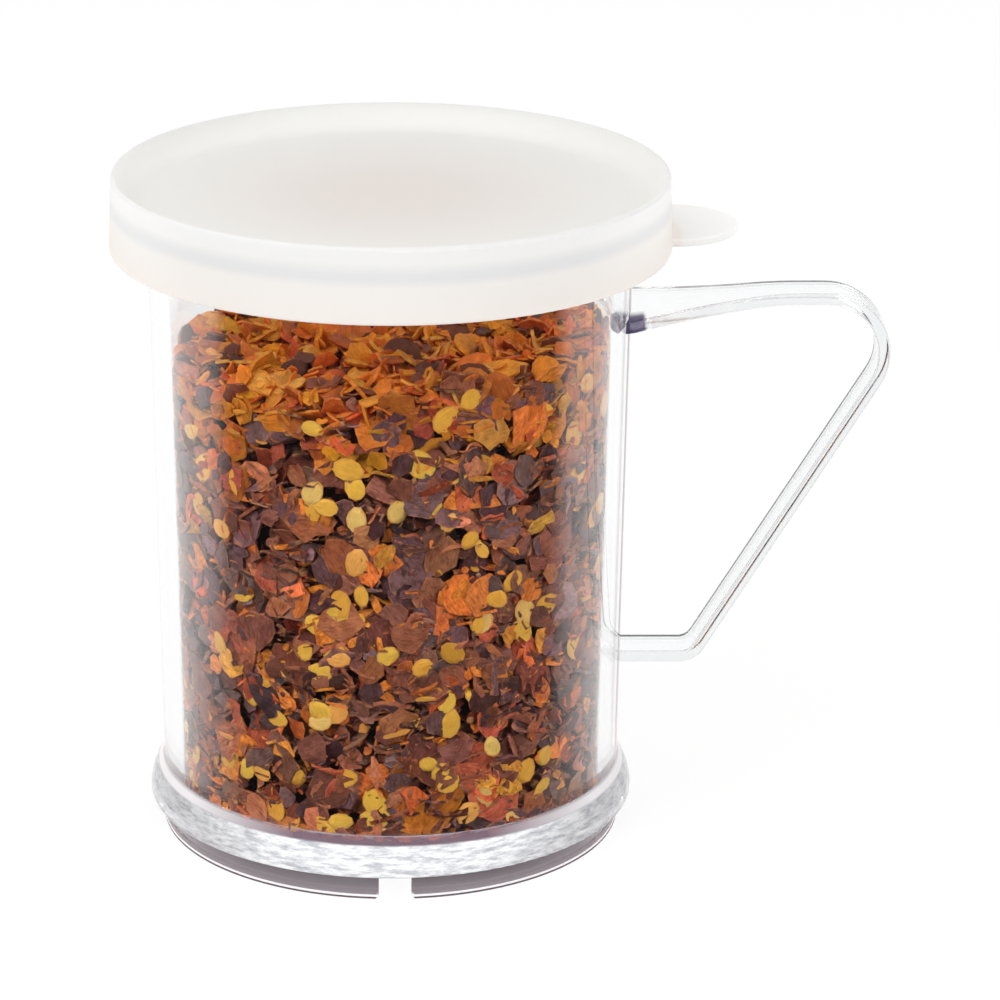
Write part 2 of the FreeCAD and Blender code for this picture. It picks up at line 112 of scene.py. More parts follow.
# The tent is white above and behind, and darker low in front, where the room is. The
# directions run from -1 to 1 along Y and Z, and the room's light is a share of the tent's.
ROOM_TO = -0.75
TENT_FROM = 0.1
ROOM_BELOW = 0.35
TENT_ABOVE = 0.75
ROOM_MIRRORED = 0.06
ROOM_DIFFUSE = 0.22
world = bpy.data.worlds.new("tent")
world.use_nodes = True
scene.world = world
tent = world.node_tree
tent.nodes.clear()
way = add(tent, "ShaderNodeTexCoord")
parts = add(tent, "ShaderNodeSeparateXYZ", {}, {0: way.outputs["Generated"]})
behind = add(tent, "ShaderNodeMapRange",
             {"interpolation_type": "SMOOTHSTEP", "From Min": ROOM_TO, "From Max": TENT_FROM},
             {"Value": parts.outputs["Y"]})
overhead = add(tent, "ShaderNodeMapRange",
               {"interpolation_type": "SMOOTHSTEP", "From Min": ROOM_BELOW, "From Max": TENT_ABOVE},
               {"Value": parts.outputs["Z"]})
tent_share = add(tent, "ShaderNodeMath", {"operation": "MAXIMUM"},
                 {0: behind.outputs[0], 1: overhead.outputs[0]})
path = add(tent, "ShaderNodeLightPath")
room_light = add(tent, "ShaderNodeMapRange", {"To Min": ROOM_MIRRORED, "To Max": ROOM_DIFFUSE},
                 {"Value": path.outputs["Is Diffuse Ray"]})
tent_light = add(tent, "ShaderNodeMapRange", {"To Max": 1.0},
                 {"Value": tent_share.outputs[0], "To Min": room_light.outputs[0]})
glow = add(tent, "ShaderNodeBackground", {"Color": linear("#ffffff")}, {"Strength": tent_light.outputs[0]})
plain = add(tent, "ShaderNodeBackground", {"Color": linear("#ffffff"), "Strength": 1.0})
tent_mix = add(tent, "ShaderNodeMixShader", {},
               {0: path.outputs["Is Camera Ray"], 1: glow.outputs[0], 2: plain.outputs[0]})
add(tent, "ShaderNodeOutputWorld", {}, {"Surface": tent_mix.outputs[0]})

# White card floor: it shows white and keeps a faint share of the shaker's shadow. Seen
# through the foot it shows a painted shadow, purple-grey and darker towards the middle,
# for the pepper's shade. Mirrored in the wall it is dark up to a line beside the shaker,
# as with a black cloth laid in front, so no white veils the pepper.
SHADE_INNER = 24 * mm
SHADE_OUTER = 33 * mm
OPEN_CARD = 34.5 * mm
CLOTH_EDGE = -30 * mm
CLOTH_END = 20 * mm
card, card_tree = new_material("white_card")
card_place = add(card_tree, "ShaderNodeTexCoord").outputs["Object"]
on_card = add(card_tree, "ShaderNodeSeparateXYZ", {}, {0: card_place})
from_axis = add(card_tree, "ShaderNodeVectorMath", {"operation": "LENGTH"}, {0: card_place})
card_path = add(card_tree, "ShaderNodeLightPath")
beside_foot = add(card_tree, "ShaderNodeMath", {"operation": "GREATER_THAN", 1: OPEN_CARD},
                  {0: from_axis.outputs["Value"]})
on_cloth = add(card_tree, "ShaderNodeMapRange", {"From Min": CLOTH_END, "From Max": CLOTH_EDGE},
               {"Value": on_card.outputs["Y"]})
open_cloth = add(card_tree, "ShaderNodeMath", {"operation": "MULTIPLY"},
                 {0: on_cloth.outputs[0], 1: beside_foot.outputs[0]})
cloth = add(card_tree, "ShaderNodeMath", {"operation": "MULTIPLY"},
            {0: open_cloth.outputs[0], 1: card_path.outputs["Is Glossy Ray"]})
card_colour = add(card_tree, "ShaderNodeMix",
                  {"data_type": "RGBA", 6: linear("#f4f4f4"), 7: linear("#1c1c1e")},
                  {0: cloth.outputs[0]})
shade = add(card_tree, "ShaderNodeBsdfDiffuse", {}, {"Color": card_colour.outputs[2]})
# Painted shadow: under the foot the card is coloured purple-grey, darker towards the middle
under_foot = add(card_tree, "ShaderNodeMapRange", {"From Min": SHADE_INNER, "From Max": SHADE_OUTER},
                 {"Value": from_axis.outputs["Value"]})
painted_foot_shadow = add(card_tree, "ShaderNodeMix",
                  {"data_type": "RGBA", 6: linear("#43373f"), 7: linear("#85757c")},
                  {0: under_foot.outputs[0]})
in_the_open = add(card_tree, "ShaderNodeMath", {"operation": "MAXIMUM"},
                  {0: beside_foot.outputs[0], 1: card_path.outputs["Is Camera Ray"]})
shown_card = add(card_tree, "ShaderNodeMix", {"data_type": "RGBA", 7: linear("#ffffff")},
                 {0: in_the_open.outputs[0], 6: painted_foot_shadow.outputs[2]})
white = add(card_tree, "ShaderNodeEmission", {"Strength": 1.0}, {"Color": shown_card.outputs[2]})
kept_shadow = add(card_tree, "ShaderNodeMixShader", {"Fac": 0.85},
                  {1: shade.outputs[0], 2: white.outputs[0]})
shown = add(card_tree, "ShaderNodeMath", {"operation": "SUBTRACT", "use_clamp": True},
            {0: seen_directly(card_tree), 1: cloth.outputs[0]})
card_mix = add(card_tree, "ShaderNodeMixShader", {},
               {0: shown.outputs[0], 1: shade.outputs[0], 2: kept_shadow.outputs[0]})
add(card_tree, "ShaderNodeOutputMaterial", {}, {"Surface": card_mix.outputs[0]})
floor_mesh = bpy.data.meshes.new("floor")
grid = bmesh.new()
bmesh.ops.create_grid(grid, x_segments=1, y_segments=1, size=6.0)
grid.to_mesh(floor_mesh)
grid.free()
floor = bpy.data.objects.new("floor", floor_mesh)
floor_mesh.materials.append(card)
scene.collection.objects.link(floor)


def soft_light(name, place, size, watts):
    """A square softbox that faces the shaker's middle."""
    data = bpy.data.lights.new(name, "AREA")
    data.shape = "SQUARE"
    data.size = size
    data.energy = watts
    lamp = bpy.data.objects.new(name, data)
    lamp.location = place
    lamp.rotation_euler = (Vector((0, 0, 50 * mm)) - lamp.location).to_track_quat("-Z", "Y").to_euler()
    lamp.visible_glossy = False
    scene.collection.objects.link(lamp)


soft_light("left_softbox", place=Vector((-0.55, -0.45, 0.6)), size=0.4, watts=4.2)
soft_light("right_softbox", place=Vector((0.5, -0.5, 0.5)), size=0.35, watts=2.8)

# Cup: one injection moulding of clear polycarbonate with a polished wall. The flange
# and foot are thick, and years of washing have left them rippled and the flange frosted
# in silvery streaks. The handle and the lid are moulded of the same plastic.
CLEAR_INDEX = 1.585
RIPPLE_PITCH = 1.6 * mm
SCUFF_PITCH = 0.35 * mm
STREAK_PITCH = 3.2 * mm
FLANGE_TOP = 10 * mm
FROST_TOP = 8.9 * mm
FROST_FOOT = 4.1 * mm
FROST_MIDDLE = 16 * mm
FROST_SIDE = 32 * mm
PAINTED_PEPPER_MIDDLE = 14 * mm
PAINTED_PEPPER_SIDE = 30 * mm
FOOT_OUTSIDE = 34.45 * mm
PAINTED_DARK_LINE = 0.3 * mm
PAINTED_LINES_TOP = 0.65 * mm


def clear_plastic(name, ripple, scuffed_up_to, dust):
    """Clear polycarbonate.

    Ripple is the depth of moulding waves below the height scuffed_up_to, and dust is the
    weight of a film that shows where the wall is seen edge-on. Returns the material, its
    tree, the shader, the place on the piece and the bump.
    """
    material, tree = new_material(name)
    where = add(tree, "ShaderNodeTexCoord").outputs["Object"]
    height = add(tree, "ShaderNodeSeparateXYZ", {}, {0: where}).outputs["Z"]
    low_down = add(tree, "ShaderNodeMapRange",
                   {"From Min": scuffed_up_to, "From Max": scuffed_up_to - 2 * mm}, {"Value": height})
    waves = add(tree, "ShaderNodeTexNoise", {"Scale": 1 / RIPPLE_PITCH, "Detail": 3.0, "Roughness": 0.55},
                {"Vector": where})
    ripple_height = add(tree, "ShaderNodeMath", {"operation": "MULTIPLY"},
                        {0: waves.outputs["Fac"], 1: low_down.outputs[0]})
    bump = add(tree, "ShaderNodeBump", {"Strength": 1.0, "Distance": ripple},
               {"Height": ripple_height.outputs[0]})
    scuffs = add(tree, "ShaderNodeTexNoise", {"Scale": 1 / SCUFF_PITCH, "Detail": 2.0}, {"Vector": where})
    scuff_share = add(tree, "ShaderNodeMath", {"operation": "MULTIPLY"},
                      {0: scuffs.outputs["Fac"], 1: low_down.outputs[0]})
    roughness = add(tree, "ShaderNodeMapRange", {"To Min": 0.015, "To Max": 0.16},
                    {"Value": scuff_share.outputs[0]})
    plastic = add(tree, "ShaderNodeBsdfPrincipled",
                  {"Base Color": linear("#fbfcfd"), "IOR": CLEAR_INDEX, "Transmission Weight": 1.0,
                   "Sheen Weight": dust, "Sheen Roughness": 0.3, "Sheen Tint": linear("#f8e6e4")},
                  {"Roughness": roughness.outputs[0], "Normal": bump.outputs[0]})
    return material, tree, plastic, where, bump


def let_light_in(tree, surface, passed):
    """Ends a material so that light which shines through the plastic is tinted by passed, where
    it would otherwise leave a black shadow."""
    open_to_lamps = add(tree, "ShaderNodeBsdfTransparent", {"Color": linear(passed)})
    light = add(tree, "ShaderNodeLightPath")
    both = add(tree, "ShaderNodeMixShader", {},
               {0: light.outputs["Is Shadow Ray"], 1: surface.outputs[0], 2: open_to_lamps.outputs[0]})
    add(tree, "ShaderNodeOutputMaterial", {}, {"Surface": both.outputs[0]})


def dress(node, material):
    """Gives a CAD piece its material in every slot."""
    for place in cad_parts[node].material_slots:
        place.material = material


cup, cup_tree, cup_plastic, cup_place, cup_bump = clear_plastic(
    "cup_polycarbonate", ripple=0.04 * mm, scuffed_up_to=FLANGE_TOP, dust=0.3)
cup_parts = add(cup_tree, "ShaderNodeSeparateXYZ", {}, {0: cup_place})
cup_flat = add(cup_tree, "ShaderNodeCombineXYZ", {},
               {"X": cup_parts.outputs["X"], "Y": cup_parts.outputs["Y"]})
cup_reach = add(cup_tree, "ShaderNodeVectorMath", {"operation": "LENGTH"}, {0: cup_flat.outputs[0]})
# Silvery streaks run round the flange, and fade towards its sides
drawn_out = add(cup_tree, "ShaderNodeVectorMath", {"operation": "MULTIPLY", 1: (1.0, 1.0, 5.0)},
                {0: cup_place})
streaks = add(cup_tree, "ShaderNodeTexNoise", {"Scale": 1 / STREAK_PITCH, "Detail": 7.0, "Roughness": 0.72},
              {"Vector": drawn_out.outputs[0]})
streak_colour = add(cup_tree, "ShaderNodeValToRGB", {}, {0: streaks.outputs["Fac"]})
streak_ends = streak_colour.color_ramp.elements
streak_ends[0].position = 0.34
streak_ends[0].color = linear("#c3c5ce")
streak_ends[1].position = 0.56
streak_ends[1].color = linear("#fafbfd")
frosted = add(cup_tree, "ShaderNodeBsdfPrincipled", {"Roughness": 0.45, "IOR": CLEAR_INDEX},
              {"Base Color": streak_colour.outputs[0], "Normal": cup_bump.outputs[0]})
under_top = add(cup_tree, "ShaderNodeMapRange", {"From Min": FROST_TOP, "From Max": FROST_TOP - 0.3 * mm},
                {"Value": cup_parts.outputs["Z"]})
over_foot = add(cup_tree, "ShaderNodeMath", {"operation": "GREATER_THAN", 1: FROST_FOOT},
                {0: cup_parts.outputs["Z"]})
outer_face = add(cup_tree, "ShaderNodeMath", {"operation": "MULTIPLY"},
                 {0: over_foot.outputs[0], 1: under_top.outputs[0]})
sideways = add(cup_tree, "ShaderNodeMath", {"operation": "ABSOLUTE"}, {0: cup_parts.outputs["X"]})
frost = add(cup_tree, "ShaderNodeMapRange",
            {"From Min": FROST_MIDDLE, "From Max": FROST_SIDE, "To Min": 0.8, "To Max": 0.35},
            {"Value": sideways.outputs[0]})
patchy = add(cup_tree, "ShaderNodeMapRange",
             {"From Min": 0.4, "From Max": 0.6, "To Min": 0.85, "To Max": 1.08},
             {"Value": streaks.outputs["Fac"]})
patchy_frost = add(cup_tree, "ShaderNodeMath", {"operation": "MULTIPLY"},
                   {0: frost.outputs[0], 1: patchy.outputs[0]})
frost_share = add(cup_tree, "ShaderNodeMath", {"operation": "MULTIPLY", "use_clamp": True},
                  {0: patchy_frost.outputs[0], 1: outer_face.outputs[0]})
flange_look = add(cup_tree, "ShaderNodeMixShader", {},
                  {0: frost_share.outputs[0], 1: cup_plastic.outputs[0], 2: frosted.outputs[0]})
# Over the frost the flange's shoulder carries a painted reflection: the pepper seen through it, purple in
# the middle and paler towards the sides
paler = add(cup_tree, "ShaderNodeMapRange", {"From Min": PAINTED_PEPPER_MIDDLE, "From Max": PAINTED_PEPPER_SIDE},
            {"Value": sideways.outputs[0]})
painted_pepper_tone = add(cup_tree, "ShaderNodeMix",
                {"data_type": "RGBA", 6: linear("#7c6270"), 7: linear("#f4f0f2")},
                {0: paler.outputs[0]})
painted_pepper_band = add(cup_tree, "ShaderNodeBsdfDiffuse", {}, {"Color": painted_pepper_tone.outputs[2]})
under_shoulder = add(cup_tree, "ShaderNodeMapRange",
                     {"From Min": FLANGE_TOP + 0.2 * mm, "From Max": FLANGE_TOP - 0.4 * mm},
                     {"Value": cup_parts.outputs["Z"]})
on_shoulder = add(cup_tree, "ShaderNodeMath", {"operation": "SUBTRACT", "use_clamp": True},
                  {0: under_shoulder.outputs[0], 1: under_top.outputs[0]})
outer_shoulder = add(cup_tree, "ShaderNodeMath", {"operation": "GREATER_THAN", 1: FOOT_OUTSIDE - 0.2 * mm},
                     {0: cup_reach.outputs["Value"]})
on_painted_band = add(cup_tree, "ShaderNodeMath", {"operation": "MULTIPLY"},
            {0: on_shoulder.outputs[0], 1: outer_shoulder.outputs[0]})
painted_band_share = add(cup_tree, "ShaderNodeMath", {"operation": "MULTIPLY", 1: 0.65}, {0: on_painted_band.outputs[0]})
flange_look = add(cup_tree, "ShaderNodeMixShader", {},
                  {0: painted_band_share.outputs[0], 1: flange_look.outputs[0], 2: painted_pepper_band.outputs[0]})
# The foot's lower edge carries a painted highlight, a white line, over a painted dark line, as a rounded
# edge would catch the light
painted_line_step = add(cup_tree, "ShaderNodeMath", {"operation": "GREATER_THAN", 1: PAINTED_DARK_LINE},
                {0: cup_parts.outputs["Z"]})
painted_line_colour = add(cup_tree, "ShaderNodeMix",
                  {"data_type": "RGBA", 6: linear("#5c4f54"), 7: linear("#fbf6f8")},
                  {0: painted_line_step.outputs[0]})
painted_edge_lines = add(cup_tree, "ShaderNodeBsdfDiffuse", {}, {"Color": painted_line_colour.outputs[2]})
at_edge = add(cup_tree, "ShaderNodeMath", {"operation": "LESS_THAN", 1: PAINTED_LINES_TOP},
              {0: cup_parts.outputs["Z"]})
outside = add(cup_tree, "ShaderNodeMath", {"operation": "GREATER_THAN", 1: FOOT_OUTSIDE},
              {0: cup_reach.outputs["Value"]})
outer_edge = add(cup_tree, "ShaderNodeMath", {"operation": "MULTIPLY"},
                 {0: at_edge.outputs[0], 1: outside.outputs[0]})
painted_edge_share = add(cup_tree, "ShaderNodeMath", {"operation": "MULTIPLY", 1: 0.85}, {0: outer_edge.outputs[0]})
cup_look = add(cup_tree, "ShaderNodeMixShader", {},
               {0: painted_edge_share.outputs[0], 1: flange_look.outputs[0], 2: painted_edge_lines.outputs[0]})
let_light_in(cup_tree, cup_look, "#fafafa")
dress("cup_body", cup)

# Handle: a clear strap, bent and welded to the wall. Its faces are smoother than the
# cup's foot, with only a trace of ripple. Its upper root's front corner carries a painted
# reflection, a dark purple patch for the pepper seen through it.
WELD_REACH = 37.4 * mm
WELD_FRONT = -6.5 * mm
WELD_BACK = -4.0 * mm
UPPER_ARM = 60 * mm
strap, strap_tree, strap_plastic, strap_place = clear_plastic(
    "handle_polycarbonate", ripple=0.008 * mm, scuffed_up_to=100 * mm, dust=0.0)[:4]
strap_parts = add(strap_tree, "ShaderNodeSeparateXYZ", {}, {0: strap_place})
near_weld = add(strap_tree, "ShaderNodeMapRange",
                {"From Min": WELD_REACH, "From Max": WELD_REACH - 0.5 * mm},
                {"Value": strap_parts.outputs["X"]})
front_corner = add(strap_tree, "ShaderNodeMapRange", {"From Min": WELD_BACK, "From Max": WELD_FRONT},
                   {"Value": strap_parts.outputs["Y"]})
high_up = add(strap_tree, "ShaderNodeMath", {"operation": "GREATER_THAN", 1: UPPER_ARM},
              {0: strap_parts.outputs["Z"]})
painted_patch_corner = add(strap_tree, "ShaderNodeMath", {"operation": "MULTIPLY"},
                  {0: near_weld.outputs[0], 1: front_corner.outputs[0]})
painted_patch_share = add(strap_tree, "ShaderNodeMath", {"operation": "MULTIPLY"},
                 {0: painted_patch_corner.outputs[0], 1: high_up.outputs[0]})
# Painted reflection: a dark purple patch on the upper root's front corner, for the pepper seen through it
painted_root_pepper = add(strap_tree, "ShaderNodeBsdfDiffuse", {"Color": linear("#3f3456")})
painted_patch_part = add(strap_tree, "ShaderNodeMath", {"operation": "MULTIPLY", 1: 0.8}, {0: painted_patch_share.outputs[0]})
strap_look = add(strap_tree, "ShaderNodeMixShader", {},
                 {0: painted_patch_part.outputs[0], 1: strap_plastic.outputs[0], 2: painted_root_pepper.outputs[0]})
let_light_in(strap_tree, strap_look, "#fafafa")
dress("strap_handle", strap)

# Lid: the perforated clear lid under the cover. It is polished all over, so it shows by
# the bright and dark lines at its holes and its rim.
lid, lid_tree, lid_plastic = clear_plastic("lid_polycarbonate", ripple=0.0, scuffed_up_to=0.0, dust=0.0)[:3]
let_light_in(lid_tree, lid_plastic, "#fafafa")
dress("shaker_lid", lid)

# Snap cover: injection-moulded natural polyethylene, milky and flexible, with a satin
# face. Light passes it, and the pepper's warm glow from below is painted into its colour.
COVER_FOOT = 89.6 * mm
PLATE_UNDER = 95.9 * mm
PLATE_TOP = 97.1 * mm
CREST = 100.7 * mm
PLATE_MIDDLE = 2 * mm
PLATE_END = 40 * mm
SKIRT_FROM = 40.4 * mm
TAB_FROM = 42.4 * mm
SATIN_PITCH = 0.4 * mm
cover, cover_tree = new_material("milky_polyethylene")
cover_place = add(cover_tree, "ShaderNodeTexCoord").outputs["Object"]
cover_parts = add(cover_tree, "ShaderNodeSeparateXYZ", {}, {0: cover_place})
flat_place = add(cover_tree, "ShaderNodeCombineXYZ", {},
                 {"X": cover_parts.outputs["X"], "Y": cover_parts.outputs["Y"]})
cover_reach = add(cover_tree, "ShaderNodeVectorMath", {"operation": "LENGTH"}, {0: flat_place.outputs[0]})
# Painted light: the plate's middle and the skirt's lower half are painted warmer and darker, for the
# pepper's glow seen through them
painted_warmth_share = add(cover_tree, "ShaderNodeMapRange",
                   {"interpolation_type": "SMOOTHSTEP", "From Min": PLATE_MIDDLE, "From Max": PLATE_END},
                   {"Value": cover_reach.outputs["Value"]})
plate_painted_colour = add(cover_tree, "ShaderNodeMix",
                   {"data_type": "RGBA", 6: linear("#e2dedb"), 7: linear("#e7e7e5")},
                   {0: painted_warmth_share.outputs[0]})
# On the skirt a painted shade, a grey band, stands for the plate's edge behind it, under a lighter painted
# rim
up_skirt = add(cover_tree, "ShaderNodeMapRange", {"From Min": COVER_FOOT, "From Max": CREST},
               {"Value": cover_parts.outputs["Z"]})
skirt_painted_shade = add(cover_tree, "ShaderNodeValToRGB", {}, {0: up_skirt.outputs[0]})
painted_bands = skirt_painted_shade.color_ramp.elements
painted_bands[0].color = linear("#ede8e4")
painted_bands[1].color = linear("#e6e6e6")
for height, shade_of_band in ((PLATE_UNDER - 1.0 * mm, "#ebe9e7"), (PLATE_UNDER + 0.2 * mm, "#dedee0"),
                              (PLATE_TOP - 0.2 * mm, "#dedee0"), (PLATE_TOP + 1.3 * mm, "#e8e8e8")):
    band = painted_bands.new((height - COVER_FOOT) / (CREST - COVER_FOOT))
    band.color = linear(shade_of_band)
on_skirt = add(cover_tree, "ShaderNodeMapRange",
               {"From Min": SKIRT_FROM - 0.1 * mm, "From Max": SKIRT_FROM + 0.1 * mm},
               {"Value": cover_reach.outputs["Value"]})
cover_colour = add(cover_tree, "ShaderNodeMix", {"data_type": "RGBA"},
                   {0: on_skirt.outputs[0], 6: plate_painted_colour.outputs[2], 7: skirt_painted_shade.outputs[0]})
on_tab = add(cover_tree, "ShaderNodeMapRange", {"From Min": TAB_FROM, "From Max": TAB_FROM + 1 * mm},
             {"Value": cover_reach.outputs["Value"]})
cover_colour = add(cover_tree, "ShaderNodeMix", {"data_type": "RGBA", 7: linear("#efefef")},
                   {0: on_tab.outputs[0], 6: cover_colour.outputs[2]})
cover_grain = add(cover_tree, "ShaderNodeTexNoise", {"Scale": 1 / SATIN_PITCH, "Detail": 2.0},
                  {"Vector": cover_place})
cover_bump = add(cover_tree, "ShaderNodeBump", {"Strength": 0.15, "Distance": 0.02 * mm},
                 {"Height": cover_grain.outputs["Fac"]})
face = add(cover_tree, "ShaderNodeBsdfPrincipled", {"Roughness": 0.34, "IOR": 1.51},
           {"Base Color": cover_colour.outputs[2], "Normal": cover_bump.outputs[0]})
through = add(cover_tree, "ShaderNodeBsdfTranslucent", {}, {"Color": cover_colour.outputs[2]})
milky = add(cover_tree, "ShaderNodeMixShader", {"Fac": 0.45}, {1: face.outputs[0], 2: through.outputs[0]})
let_light_in(cover_tree, milky, "#e2e0dc")
dress("snap_cover", cover)

# Pepper: crushed dried chilli, torn sheets of skin 2 to 7 mm long that curl as they
# dry, dull flesh on one side and waxy skin on the other, with flat seeds and slivers.
# Poured in, the flakes lie flat, and those at the wall press against it.
draw = np.random.default_rng(21)
FLOOR_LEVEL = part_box("pepper_fill")[0].z
FLOOR_RADIUS = 31.5 * mm
RIM_RADIUS = 32.6 * mm
HEAP_LEFT = 75.1 * mm
HEAP_RIGHT = 79.0 * mm
UPPER_DEPTH = 9 * mm
LUMP_HEIGHT = 0.7 * mm
SLUMP_FROM = 28 * mm
SLUMP = 3.0 * mm
TOP_MARGIN = 0.6 * mm
PATCH_PITCH = 1.6 * mm
VEIN_PITCH = 0.3 * mm
WRINKLE_DEPTH = 0.3 * mm
BRIGHTEST = 0.92


def wall_radius(height):
    """The cup's inner radius at a height, less a hair of clearance."""
    share = (height - FLOOR_LEVEL) / (HEAP_RIGHT - FLOOR_LEVEL)
    return FLOOR_RADIUS + (RIM_RADIUS - FLOOR_RADIUS) * share


def heap_top(across, deep):
    """The heap's height: it leans up towards the handle, and is lumpy and low at the wall."""
    lean = HEAP_LEFT + (HEAP_RIGHT - HEAP_LEFT) * (across + RIM_RADIUS) / (2 * RIM_RADIUS)
    lumps = LUMP_HEIGHT * np.sin(across / (2.9 * mm) + 1.2) * np.sin(deep / (3.3 * mm) + 0.6)
    reach = np.hypot(across, deep)
    slump = SLUMP * np.clip((reach - SLUMP_FROM) / (RIM_RADIUS - SLUMP_FROM), 0, 1) ** 2
    return lean + lumps - slump * (across < 0)


def torn_sheet(columns, rows, narrow, thickness, curl, seed):
    """One dried scrap, 1 unit long: a torn grid, curled, crumpled and given its thickness."""
    own = np.random.default_rng(seed)
    scrap = bmesh.new()
    bmesh.ops.create_grid(scrap, x_segments=columns, y_segments=rows, size=0.5)
    rim = scrap.verts.layers.float.new("rim")
    tilt, twist = own.uniform(0, math.pi), own.uniform(-0.6, 0.6)
    bend = own.uniform(0.3, 1.0) * curl
    waist, lean = own.uniform(-0.25, 0.25), own.uniform(-0.35, 0.35)
    for vertex in scrap.verts:
        x, y = vertex.co.x, vertex.co.y
        edge = max(abs(x), abs(y)) > 0.45
        vertex[rim] = float(edge)
        shift = own.uniform(-0.13, 0.13, 2) if edge else own.uniform(-0.05, 0.05, 2)
        corner = 1 - 0.28 * (abs(x) > 0.45 and abs(y) > 0.45)
        x = (x + shift[0]) * corner
        y = (y + shift[1]) * corner * narrow * (1 + waist * x * 2) + lean * x * narrow
        along = x * math.cos(tilt) + y * math.sin(tilt)
        rise = bend * along * along + twist * x * y + own.uniform(-0.03, 0.03)
        vertex.co = (x, y, rise)
    bmesh.ops.solidify(scrap, geom=list(scrap.faces), thickness=thickness)
    bmesh.ops.recalc_face_normals(scrap, faces=scrap.faces)
    return scrap


def flat_seed(seed):
    """A chilli seed, 1 unit across: a thin disc with a thicker rim and a small beak."""
    own = np.random.default_rng(seed)
    body = bmesh.new()
    bmesh.ops.create_uvsphere(body, u_segments=10, v_segments=6, radius=0.5)
    rim = body.verts.layers.float.new("rim")
    breadth = own.uniform(0.8, 0.9)
    for vertex in body.verts:
        x, y, z = vertex.co
        reach = math.hypot(x, y) / 0.5
        vertex[rim] = min(1.0, reach * 0.95)
        beak = 1 + 0.2 * max(0.0, x / 0.5) ** 6
        dent = 0.5 + 0.5 * reach ** 2
        vertex.co = (x * beak, y * breadth + 0.09 * x * beak, z * 0.28 * dent + 0.1 * x * y)
    return body


def as_arrays(scrap):
    """A shape's points, its triangles and how near its rim each point is; frees the shape."""
    bmesh.ops.triangulate(scrap, faces=scrap.faces)
    scrap.verts.index_update()
    near_rim = scrap.verts.layers.float["rim"]
    points = np.array([v.co for v in scrap.verts])
    faces = np.array([[v.index for v in f.verts] for f in scrap.faces])
    rim = np.array([v[near_rim] for v in scrap.verts])
    scrap.free()
    return points, faces, rim


def turned(normals, spins):
    """Rotations that lay a shape's Z along each normal and spin it about that normal."""
    helper = np.where(np.abs(normals[:, 2:3]) < 0.9, [[0.0, 0.0, 1.0]], [[1.0, 0.0, 0.0]])
    first = np.cross(helper, normals)
    first /= np.linalg.norm(first, axis=1, keepdims=True)
    second = np.cross(normals, first)
    c, s = np.cos(spins)[:, None], np.sin(spins)[:, None]
    return np.stack([first * c + second * s, second * c - first * s, normals], axis=2)


def lying(places, flat_share, pressed_share, spread):
    """Normals of flakes at places: pressed on the wall, lying flat or tumbled, each leaning."""
    count = len(places)
    pick = draw.uniform(0, 1, count)
    outward = places * [1, 1, 0]
    outward /= np.maximum(np.linalg.norm(outward, axis=1, keepdims=True), 1e-6)
    up = np.tile([0.0, 0.0, 1.0], (count, 1))
    tumbled = draw.normal(0, 1, (count, 3))
    base = np.where((pick < pressed_share)[:, None], outward,
                    np.where((pick < pressed_share + flat_share)[:, None], up, tumbled))
    base = base + draw.normal(0, 1, (count, 3)) * spread
    return base / np.linalg.norm(base, axis=1, keepdims=True)


def within_cup(points, play):
    """Presses points back inside the cup's wall and floor."""
    reach = np.hypot(points[:, 0], points[:, 1])
    limit = wall_radius(points[:, 2]) - play
    squeeze = np.where(reach > limit, limit / np.maximum(reach, 1e-9), 1.0)
    points[:, 0] *= squeeze
    points[:, 1] *= squeeze
    points[:, 2] = np.maximum(points[:, 2], FLOOR_LEVEL + play)
    return points


def heap_of(name, shapes, places, normals, lengths, colours, material, spins=None):
    """One mesh of many small pieces.

    The attribute tint holds each piece's colour and how near its rim a point is, and
    fibre holds where on its own piece the point lies, in metres along and across.
    """
    count = len(places)
    kinds = draw.integers(0, len(shapes), count)
    turns = turned(normals, draw.uniform(0, 2 * math.pi, count) if spins is None else spins)
    play = draw.uniform(0.02, 0.25, count) * mm
    apart = draw.uniform(0, 500, (count, 3)) * mm
    all_points, all_faces, all_tints, all_fibres = [], [], [], []
    start = 0
    for index in range(count):
        points, faces, rim = shapes[kinds[index]]
        sized = points * lengths[index]
        all_points.append(within_cup(sized @ turns[index].T + places[index], play[index]))
        all_faces.append(faces + start)
        all_tints.append(np.column_stack([np.tile(colours[index][:3], (len(points), 1)), rim]))
        all_fibres.append(sized + apart[index])
        start += len(points)
    mesh = bpy.data.meshes.new(name)
    mesh.from_pydata(np.concatenate(all_points), [], np.concatenate(all_faces))
    mesh.set_sharp_from_angle(angle=math.radians(48))
    tint = mesh.attributes.new("tint", "FLOAT_COLOR", "POINT")
    tint.data.foreach_set("color", np.concatenate(all_tints).astype(np.float32).ravel())
    fibre = mesh.attributes.new("fibre", "FLOAT_VECTOR", "POINT")
    fibre.data.foreach_set("vector", np.concatenate(all_fibres).astype(np.float32).ravel())
    mesh.materials.append(material)
    mesh.update()
    piece = bpy.data.objects.new(name, mesh)
    scene.collection.objects.link(piece)
    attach(piece, "cup")


